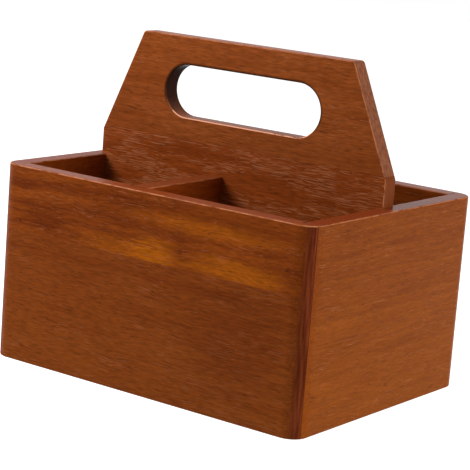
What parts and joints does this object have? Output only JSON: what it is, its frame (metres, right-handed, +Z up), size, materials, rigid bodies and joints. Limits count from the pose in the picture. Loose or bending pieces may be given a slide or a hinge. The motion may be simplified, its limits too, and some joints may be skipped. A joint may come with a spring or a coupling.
{
  "type": "utensil caddy",
  "caption": "Open wooden utensil caddy: a box of boards split by a tall handle board with a hand slot and a short cross divider.",
  "frame": {"origin": "on the table, under the middle of the box", "axes": "+X to the right along the long front, +Y to the back, +Z up"},
  "size_m": [0.25, 0.195, 0.222],
  "materials": {
    "front_upper_wood": "satin stain, golden streaked sapwood",
    "front_lower_wood": "satin stain, even mid-brown",
    "back_upper_wood": "satin stain",
    "back_lower_wood": "satin stain",
    "left_end_wood": "satin stain",
    "right_end_wood": "satin stain, orange brown",
    "handle_upper_wood": "satin stain",
    "handle_lower_wood": "satin stain, open pale pores",
    "divider_wood": "satin stain",
    "bottom_wood": "satin stain"
  },
  "bodies": {
    "root": {"front_upper_board": "front_upper_wood", "front_lower_board": "front_lower_wood", "back_upper_board": "back_upper_wood", "back_lower_board": "back_lower_wood", "left_end_board": "left_end_wood", "right_end_board": "right_end_wood", "handle_upper_board": "handle_upper_wood", "handle_lower_board": "handle_lower_wood", "cross_divider": "divider_wood", "bottom_panel": "bottom_wood"}
  },
  "joints": []
}
